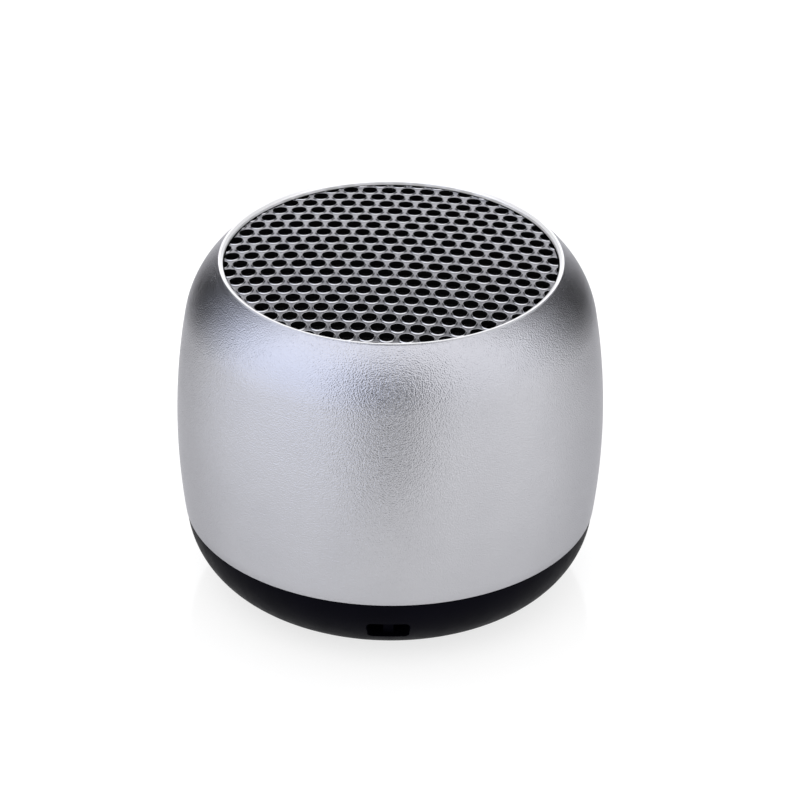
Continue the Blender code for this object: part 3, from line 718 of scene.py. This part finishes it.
def hole_centres(limit):
    """Centres of the hexagonal hole field within a radius."""
    reach = int(limit / HOLE_PITCH) + 3
    found = []
    for row in range(-reach - 2, reach + 3):
        for column in range(-2 * reach, 2 * reach):
            x = (column + row / 2) * HOLE_PITCH
            y = row * HOLE_PITCH * math.sin(math.radians(60))
            across = x * math.cos(HOLE_TURN) - y * math.sin(HOLE_TURN) + HOLE_SHIFT[0]
            along = x * math.sin(HOLE_TURN) + y * math.cos(HOLE_TURN) + HOLE_SHIFT[1]
            if math.hypot(across, along) <= limit:
                found.append((across, along))
    return found


# The grille's finishes, and a hole's section from the web inwards: radius, height above the web, and the
# finish of the band that ends there.
# The hole wall's black finish is painted shade.
GRILLE_FINISHES = ["grille_metal", "grille_lip_painted_highlight", "hole_wall_painted_shade"]
WEB, LIP_PAINTED_HIGHLIGHT, PAINTED_SHADE_WALL = range(len(GRILLE_FINISHES))
# The lips' brighter finish is a painted highlight.
HOLE_SECTION = [
    (1.0, 0.0, WEB),
    (0.955, 0.003, WEB),
    (0.923, 0.02, LIP_PAINTED_HIGHLIGHT),
    (0.883, 0.056, LIP_PAINTED_HIGHLIGHT),
    (0.858, 0.079, LIP_PAINTED_HIGHLIGHT),
    (0.835, 0.085, LIP_PAINTED_HIGHLIGHT),
    (0.812, 0.072, LIP_PAINTED_HIGHLIGHT),
    (0.797, 0.045, PAINTED_SHADE_WALL),
    (0.787, 0.0, PAINTED_SHADE_WALL),
    (0.785, -0.1, PAINTED_SHADE_WALL),
    (0.785, -GRILLE_SHEET, PAINTED_SHADE_WALL),
]


def cell_corner(centre, k):
    """A point on the hexagon round a hole, at the k-th of its sides' directions."""
    angle = math.tau * k / HOLE_SIDES
    off = (angle + math.radians(30)) % math.radians(60) - math.radians(30)
    reach = HOLE_PITCH / 2 / math.cos(off)
    return (centre[0] + reach * math.cos(angle + HOLE_TURN), centre[1] + reach * math.sin(angle + HOLE_TURN))


def perforated_sheet():
    """A flat sheet of hexagonal cells, each with a round hole whose edge stands up as a rolled lip."""
    mesh = bmesh.new()
    shared, sides = {}, {}

    def shared_vert(point, height):
        key = (round(point[0], 3), round(point[1], 3), height)
        if key not in shared:
            shared[key] = mesh.verts.new((*point, height))
        return shared[key]

    def band(outer, inner, index):
        for face in bridge(mesh, outer, inner):
            face.material_index = index

    for centre in hole_centres(GRILLE_RADIUS + HOLE_PITCH):
        corners = [cell_corner(centre, k) for k in range(HOLE_SIDES)]
        top = [shared_vert(point, 0.0) for point in corners]
        bottom = [shared_vert(point, -GRILLE_SHEET) for point in corners]
        previous = top
        for radius, height, index in HOLE_SECTION:
            spots = circle(radius, HOLE_SIDES, HOLE_TURN)
            ring = [mesh.verts.new((centre[0] + x, centre[1] + y, height)) for x, y in spots]
            band(previous, ring, index)
            previous = ring
        band(previous, bottom, PAINTED_SHADE_WALL)
        for k in range(HOLE_SIDES):
            j = (k + 1) % HOLE_SIDES
            pair = frozenset((top[k], top[j]))
            sides[pair] = None if pair in sides else (top[k], top[j], bottom[j], bottom[k])
    for quad in sides.values():
        if quad:
            mesh.faces.new(quad)
    return mesh


def crown(radius):
    """How far the grille stands above its own edge at a radius."""
    return GRILLE_CROWN * (1 - (radius / GRILLE_RADIUS) ** 2)


def make_grille():
    """The perforated sheet, cut round and crowned."""
    disc = plug(GRILLE_RADIUS, -2, 2, SMOOTH)
    # The cut edge round the grille takes the black of painted shade.
    for face in disc.faces:
        face.material_index = PAINTED_SHADE_WALL
    mesh = cut(perforated_sheet(), [disc], "INTERSECT")
    lip_top = max(height for _, height, _ in HOLE_SECTION)
    for vert in mesh.verts:
        vert.co.z += GRILLE_EDGE_Z - lip_top + crown(math.hypot(vert.co.x, vert.co.y))
    grille = made("perforated_grille", mesh, 50)
    fit(grille, "housing", "grille_metal", ["grille"], GRILLE_FINISHES)


def make_cloth():
    """Scrim glued under the grille, that follows its crown."""
    top = GRILLE_EDGE_Z - GRILLE_SHEET - CLOTH_GAP
    radii = [CLOTH_RADIUS * i / CLOTH_RINGS for i in range(CLOTH_RINGS + 1)]
    upper = [(r, top + crown(r)) for r in radii]
    lower = [(r, z - CLOTH_SHEET) for r, z in upper]
    cloth = made("dust_scrim", lathe(upper + lower[::-1], 128))
    fit(cloth, "housing", "black_cloth", ["grille_cloth"])


# --- Base --------------------------------------------------------------------------------------------------


def base_section():
    """The bowl: underside with the foot's groove, outer arc, spigot, inner arc and floor."""
    centre_r, centre_z = BASE_ARC_CENTRE
    inner_arc = BASE_ARC - BASE_WALL
    low = math.degrees(math.asin((BASE_UNDER_Z - centre_z) / BASE_ARC))
    high = math.degrees(math.asin((BASE_ARC_END_Z - centre_z) / BASE_ARC))
    inner_top = -math.degrees(math.acos((SPIGOT[0] - centre_r) / inner_arc))
    inner_low = math.degrees(math.asin((BASE_FLOOR_Z - centre_z) / inner_arc))
    return eased(
        [
            (BUTTON_BORE, BASE_FLOOR_Z, 0.1),
            (BUTTON_BORE, BASE_UNDER_Z, 0.15),
            (FOOT_GROOVE[0], BASE_UNDER_Z, 0.08),
            (FOOT_GROOVE[0], FOOT_GROOVE_Z, 0.05),
            (FOOT_GROOVE[1], FOOT_GROOVE_Z, 0.05),
            (FOOT_GROOVE[1], BASE_UNDER_Z, 0.08),
            *arc(BASE_ARC_CENTRE, BASE_ARC, low, high, 24),
            (*BASE_RIM, 0.05),
            (SPIGOT[1], BASE_RIM[1], 0.05),
            (SPIGOT[1], SPIGOT_TOP_Z, 0.15),
            (SPIGOT[0], SPIGOT_TOP_Z, 0.1),
            *arc(BASE_ARC_CENTRE, inner_arc, inner_top, inner_low, 10),
        ]
    )


def strap_way():
    """The slot's pocket, its mouth flared a little to either side and below."""
    width, height = STRAP_SLOT
    z = STRAP_SLOT_Z
    return lofted_y(
        [
            (-CLEAR, z - 0.25, width + 1.6, height + 1.1, 0.9),
            (-21.3, z - 0.06, width + 0.35, height + 0.3, 0.7),
            (-20.75, z, width, height, 0.6),
            (-16.6, z, width, height, 0.6),
        ]
    )


def usb_way():
    """The opening for the receptacle in the rear wall, flared outwards for the plug."""
    width, height = USB_WAY
    return lofted_y(
        [
            (16.2, USB_Z, width, height, 0.8),
            (20.2, USB_Z, width, height, 0.8),
            (20.9, USB_Z, width + 0.4, height + 0.4, 1.0),
            (CLEAR, USB_Z, width + 1.7, height + 1.65, 1.6),
        ]
    )


def posts_and_bores():
    """The screws' posts, and the stepped bores up through them."""
    posts, bores = [], []
    for degrees in SCREW_ANGLES:
        angle = math.radians(degrees)
        centre = (SCREW_CIRCLE * math.cos(angle), SCREW_CIRCLE * math.sin(angle), 0)
        posts.append(plug(POST_RADIUS, *POST_Z, 35, centre))
        bore = [
            (0, -1),
            (SCREW_HEAD_BORE, -1),
            (SCREW_HEAD_BORE, SCREW_SEAT_Z),
            (SCREW_SHANK_BORE, SCREW_SEAT_Z),
            (SCREW_SHANK_BORE, 8),
            (0, 8),
        ]
        bores.append(lathe(bore, 37, centre))
    return posts, bores


def strap_housing():
    """The solid behind the strap slot, that closes its pocket off from the inside."""
    outline = [(-15.9, 6.05), (-19.9, 6.05), (-19.9, 4.2), (-18.6, 2.5), (-18.0, 1.6), (-15.9, 1.6)]
    mesh = bmesh.new()
    ends = (-STRAP_HOUSING_HALF, STRAP_HOUSING_HALF)
    return skin(mesh, [[mesh.verts.new((x, y, z)) for y, z in outline] for x in ends])


def make_base():
    """The bowl with its posts and pockets, the bores for the LED and the microphone, and the strap's bar."""
    posts, bores = posts_and_bores()
    solid = cut(lathe(base_section(), 240), [*posts, strap_housing()], "UNION")
    led = plug(LED_BORE, -1, 3, 31, (LED_X, 0, 0))
    sound = plug(MICROPHONE_BORE, -1, 3, 25, (MICROPHONE_X, 0, 0))
    solid = cut(solid, [*bores, strap_way(), usb_way(), led, sound])
    bar = lofted_y([(y, STRAP_SLOT_Z, *STRAP_BAR, 0.3) for y in (-19.3, -18.2)])
    base = made("base_bowl", cut(solid, [bar], "UNION"), 30)
    fit(base, "housing", "black_plastic", ["bottom_cover"])


def make_foot():
    """The silicone foot, that stands on two narrow lands with a shallow groove between them."""
    section = eased(
        [
            (11.25, 0.85, 0.05),
            (11.25, 0.0, 0.3),
            (12.2, 0.0, 0.1),
            (12.4, 0.12, 0.1),
            (13.8, 0.12, 0.1),
            (14.0, 0.0, 0.1),
            (14.95, 0.0, 0.3),
            (14.95, 0.85, 0.05),
        ],
        5,
    )
    foot = made("silicone_foot", lathe(section, SMOOTH))
    fit(foot, "housing", "black_rubber", ["foot_ring"])


def make_button():
    """The power key: a dished face with a fine ring round the dish, over its retaining flange and stem."""
    section = eased(
        [
            (0, 0.74),
            (1.2, 0.733),
            (2.4, 0.705),
            (3.3, 0.66, 0.1),
            (3.55, 0.76, 0.08),
            (3.8, 0.65, 0.08),
            (4.35, 0.67, 0.1),
            (4.75, 1.0, 0.2),
            (4.75, 2.1, 0.05),
            (5.8, 2.1, 0.08),
            (5.8, 2.7, 0.08),
            (1.5, 2.7, 0.1),
            (1.5, 3.85, 0.1),
            (0, 3.85),
        ],
        4,
    )
    key = made("power_key", lathe(section, 96))
    fit(key, "button", "black_plastic", ["power_button"])


def make_usb():
    """The receptacle's drawn shell with a flared lip, and its tongue with five flat contacts."""
    (shell_x, shell_z), (open_x, open_z) = USB_SHELL, USB_OPENING
    front = USB_FRONT_Y
    outer = [
        (14.9, USB_Z, shell_x, shell_z, 0.6),
        (front - 0.35, USB_Z, shell_x, shell_z, 0.6),
        (front, USB_Z, shell_x + 0.06, shell_z + 0.05, 0.65),
    ]
    inner = [
        (15.3, USB_Z, open_x, open_z, 0.4),
        (front - 0.4, USB_Z, open_x, open_z, 0.4),
        (front + 0.5, USB_Z, open_x + 0.6, open_z + 0.6, 0.6),
    ]
    shell = made("usb_receptacle", cut(lofted_y(outer), [lofted_y(inner)]), 30)
    fit(shell, "housing", "zinc_steel", ["micro_usb_shell"])
    z = USB_Z + 0.425
    wide, thick = USB_TONGUE
    blade = [(15.35, z, wide, thick, 0.12), (18.8, z, wide, thick, 0.12)]
    tip = (19.0, z, wide - 0.2, thick - 0.25, 0.1)
    tongue = made("usb_tongue", lofted_y([*blade, tip], 3))
    fit(tongue, "housing", "chip_black", ["micro_usb_tongue"])
    for number in range(5):
        contact = lofted_y([(y, z - 0.37, *USB_CONTACT, 0.03) for y in (15.5, 18.6)], 2)
        for vert in contact.verts:
            vert.co.x += (number - 2) * USB_CONTACT_PITCH
        fit(made(f"usb_contact_{number + 1}", contact), "housing", "tag_brass", finishes=["gold"])


# --- Driver ------------------------------------------------------------------------------------------------


def fit_bending(piece, slot, node):
    """For a piece that bends between the housing and the cone: gives it its finish, bakes its placement into
    its mesh and hides the CAD node that it stands for.
    """
    piece.data.materials.append(FINISHES[slot])
    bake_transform(piece)
    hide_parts(node)


def turned_sheet(name, under, sides):
    """A thin flexible sheet turned from the section of its underside, given from the flange's height."""
    over = [(r, z + FLEXIBLE_SHEET) for r, z in reversed(under)]
    return made(name, lathe([(r, z + FLANGE_Z) for r, z in under + over], sides), 60)


def make_surround():
    """The rolled rubber edge; its inner lip moves with the cone and its outer lip stays on the flange."""
    steps = 20
    low, high, first, last, rise = CONE_EDGE_Z + 0.15, 0.1, 14.0, 16.6, 0.9
    roll = []
    for i in range(steps + 1):
        t = i / steps
        radius = first + (last - first) * (1 - math.cos(math.pi * t)) / 2
        roll.append((radius, low + (high - low) * t + rise * math.sin(math.pi * t)))
    surround = turned_sheet("surround_roll", [(13.1, low), *roll, (17.4, high)], 128)
    fit_bending(surround, "black_rubber", "surround")


def make_spider():
    """The corrugated centring disc, from the cone's neck out to the basket's ledge."""
    waves, steps, depth = 2, 40, 0.22
    low, high, first, width = SPIDER_LEDGE_Z + 0.3, SPIDER_LEDGE_Z + 0.75, 6.2, 5.0
    wave = []
    for i in range(steps + 1):
        t = i / steps
        wave.append((first + width * t, high + (low - high) * t + depth * math.sin(math.tau * waves * t)))
    spider = turned_sheet("centring_spider", [(5.3, high), *wave, (12.8, low)], 96)
    fit_bending(spider, "spider_cloth", "spider")


def make_tinsel_leads():
    """Two flexible leads from the terminal tags, through the basket's windows, to the cone."""
    lift = Vector((0, 0, FLANGE_Z))
    for name, side in (("positive", 1), ("negative", -1)):
        route = [
            (16.9, side * 3.3, -2.8),
            (16.6, side * 5.0, -2.7),
            (15.0, side * 7.4, -2.8),
            (13.0, side * 8.6, -3.1),
            (10.6, side * 7.4, -3.1),
            (8.6, side * 5.2, -3.2),
            (7.3, side * 3.6, -3.4),
        ]
        points = [point + lift for point in smooth_route(route)]
        lead = made(f"tinsel_{name}", tube_along(points, TINSEL_RADIUS, 10))
        fit_bending(lead, "copper", f"tinsel_lead_{name}")


# --- Carried-over pieces -----------------------------------------------------------------------------------


def finish_cad_nodes():
    """Every CAD node takes the finish of its record slot."""
    slots = {row["node"]: row["material_slot"] for row in frame["record"]["subparts"]}
    for name, node in frame["nodes"].items():
        node.data.materials.clear()
        node.data.materials.append(FINISHES[slots[name]])


# --- Studio ------------------------------------------------------------------------------------------------


def direction(azimuth, elevation):
    """Unit vector; azimuth 0 is the camera's side, 90 the right, 180 behind."""
    a, e = math.radians(azimuth), math.radians(elevation)
    return (math.sin(a) * math.cos(e), -math.cos(a) * math.cos(e), math.sin(e))


TABLE_SIZE = 3000
TABLE_GLOW = 0.74
CARD_FOOT_Z = 0.5
SIDE_CARD_REACH = 115

# The studio as reflections see it. Each panel: azimuth of its middle and half its width, lowest and highest
# elevation, how far its edges fade (sideways, upright), all in degrees, and its light.
STUDIO_DARK = (0.03, 0.03, 0.034)
PANELS = [
    (-60.5, 43.5, -3, 95, 9, 15, (1.67, 1.77, 2.08)),
    (-60.5, 43.5, 48, 95, 9, 15, (1.88, 1.91, 2.04)),
    (59, 42, 0, 95, 9, 15, (1.57, 1.58, 1.63)),
    (59, 42, 48, 95, 9, 15, (1.76, 1.76, 1.82)),
    (0, 20, 41, 95, 8, 12, (1.46, 1.46, 1.49)),
    (0, 181, 66, 95, 1, 12, (1.49, 1.49, 1.52)),
    (180, 18, 12, 32, 6, 8, (1.80, 1.80, 1.87)),
    (180, 18, 12, 45, 6, 8, (0.5, 0.5, 0.53)),
    (161, 13, -6, 14, 7, 6, (1.25, 1.25, 1.28)),
    (-161, 13, -6, 14, 7, 6, (1.25, 1.25, 1.28)),
]


def soft_step(owner, value, none, full):
    """A smooth step between two angles in degrees, of a value in radians."""
    step = add(owner, "ShaderNodeMapRange", {"Value": value}, interpolation_type="SMOOTHSTEP")
    step.inputs["From Min"].default_value = math.radians(none)
    step.inputs["From Max"].default_value = math.radians(full)
    return step.outputs["Result"]


def panel_mask(world, level, elevation, azimuth, half, low, high, fade_side, fade_up):
    """How far a direction lies inside a panel, from 0 to 1; level is the direction's horizontal part."""
    dot = add(world, "ShaderNodeVectorMath", {"Vector": level}, operation="DOT_PRODUCT")
    dot.inputs[1].default_value = direction(azimuth, 0)
    turn = add(world, "ShaderNodeMath", operation="ARCCOSINE")
    world.node_tree.links.new(dot.outputs["Value"], turn.inputs[0])
    beside = soft_step(world, turn.outputs[0], half + fade_side, half - fade_side)
    above = soft_step(world, elevation, low - fade_up, low + fade_up)
    below = soft_step(world, elevation, high + fade_up, high - fade_up)
    return product(world, beside, product(world, above, below))


def studio_light(world):
    """The panels over the dark studio, the brightest one showing wherever two overlap."""
    towards = add(world, "ShaderNodeTexCoord").outputs["Generated"]
    upright = add(world, "ShaderNodeSeparateXYZ", {"Vector": towards}).outputs["Z"]
    elevation = add(world, "ShaderNodeMath", operation="ARCSINE")
    world.node_tree.links.new(upright, elevation.inputs[0])
    flat = add(world, "ShaderNodeVectorMath", operation="MULTIPLY")
    world.node_tree.links.new(towards, flat.inputs[0])
    flat.inputs[1].default_value = (1, 1, 0)
    level = add(world, "ShaderNodeVectorMath", {"Vector": flat.outputs["Vector"]}, operation="NORMALIZE")
    colour = None
    for *shape, light in PANELS:
        inside = panel_mask(world, level.outputs["Vector"], elevation.outputs[0], *shape)
        mix = add(world, "ShaderNodeMix", data_type="RGBA", blend_type="LIGHTEN")
        world.node_tree.links.new(inside, mix.inputs["Factor"])
        if colour:
            world.node_tree.links.new(colour, mix.inputs[MIX_FIRST])
        else:
            mix.inputs[MIX_FIRST].default_value = (*STUDIO_DARK, 1)
        mix.inputs[MIX_SECOND].default_value = (*light, 1)
        colour = mix.outputs[MIX_RESULT]
    return colour


def make_world():
    """Even white light, with a studio of softboxes in the dark that only reflections see."""
    world = bpy.data.worlds.new("studio")
    bpy.context.scene.world = world
    world.use_nodes = True
    world.node_tree.nodes.clear()
    studio = add(world, "ShaderNodeBackground", {"Color": studio_light(world)})
    even = add(world, "ShaderNodeBackground")
    even.inputs["Color"].default_value = (1, 1, 1, 1)
    glossy = add(world, "ShaderNodeLightPath").outputs["Is Glossy Ray"]
    choose = add(world, "ShaderNodeMixShader", {"Fac": glossy})
    world.node_tree.links.new(even.outputs["Background"], choose.inputs[1])
    world.node_tree.links.new(studio.outputs["Background"], choose.inputs[2])
    add(world, "ShaderNodeOutputWorld", {"Surface": choose.outputs["Shader"]})


def make_floor():
    """A white, faintly glossy table that glows a little, as a light table does."""
    mesh = bmesh.new()
    bmesh.ops.create_grid(mesh, x_segments=1, y_segments=1, size=TABLE_SIZE)
    floor = made("table", mesh)
    material = finish("table_white", (0.34, 0.34, 0.34), 0.12)
    shader = principled(material)
    shader.inputs["Emission Color"].default_value = (1, 1, 1, 1)
    shader.inputs["Emission Strength"].default_value = TABLE_GLOW
    floor.data.materials.append(material)


def make_card(name, start, end, top, grey):
    """An upright card between two points of the table, out of the picture, which only reflections see."""
    mesh = bmesh.new()
    spots = [(*start, CARD_FOOT_Z), (*end, CARD_FOOT_Z), (*end, top), (*start, top)]
    mesh.faces.new([mesh.verts.new(spot) for spot in spots])
    card = made(name, mesh)
    card.data.materials.append(finish(name, (grey, grey, grey), 0.9))
    for kind in ("camera", "diffuse", "shadow", "transmission", "volume_scatter"):
        setattr(card, "visible_" + kind, False)


def make_cards():
    """A grey card low in front, and a dark one behind to either side that shades the shoulders."""
    make_card("front_card", (-16, -80), (16, -80), 24, 0.52)
    for name, side in (("left_card", -1), ("right_card", 1)):
        towards = [direction(side * turn, 0)[:2] for turn in (112, 147)]
        start, end = [(x * SIDE_CARD_REACH, y * SIDE_CARD_REACH) for x, y in towards]
        make_card(name, start, end, 45, 0.02)


def make_key_light():
    """A broad soft source above and to the left, for a little direction."""
    data = bpy.data.lights.new("softbox", "AREA")
    data.shape = "RECTANGLE"
    data.size, data.size_y = 0.6, 0.6
    data.energy = 1.0
    light = bpy.data.objects.new("softbox", data)
    light.location = Vector(direction(-30, 62)) * 0.9
    light.rotation_euler = (-light.location).to_track_quat("-Z", "Y").to_euler()
    light.visible_glossy = False
    bpy.context.scene.collection.objects.link(light)


def make_camera():
    """A long lens on the target from in front and above."""
    data = bpy.data.cameras.new("camera")
    data.lens = LENS
    data.sensor_width = 36
    data.clip_start, data.clip_end = 0.01, 10
    camera = bpy.data.objects.new("camera", data)
    back = Vector((0, -math.cos(CAMERA_ELEVATION), math.sin(CAMERA_ELEVATION)))
    camera.location = (CAMERA_TARGET + back * CAMERA_DISTANCE) * MM
    camera.rotation_mode = "QUATERNION"
    level = (-back).to_track_quat("-Z", "Y")
    camera.rotation_quaternion = level @ Quaternion((0, 0, 1), CAMERA_ROLL)
    bpy.context.scene.collection.objects.link(camera)
    bpy.context.scene.camera = camera


# --- Assembly ----------------------------------------------------------------------------------------------

bpy.context.scene.view_settings.view_transform = "Standard"
make_camera()
make_world()
make_floor()
make_cards()
make_key_light()
finish_cad_nodes()
make_barrel()
make_grille()
make_cloth()
make_base()
make_foot()
make_button()
make_usb()
make_surround()
make_spider()
make_tinsel_leads()
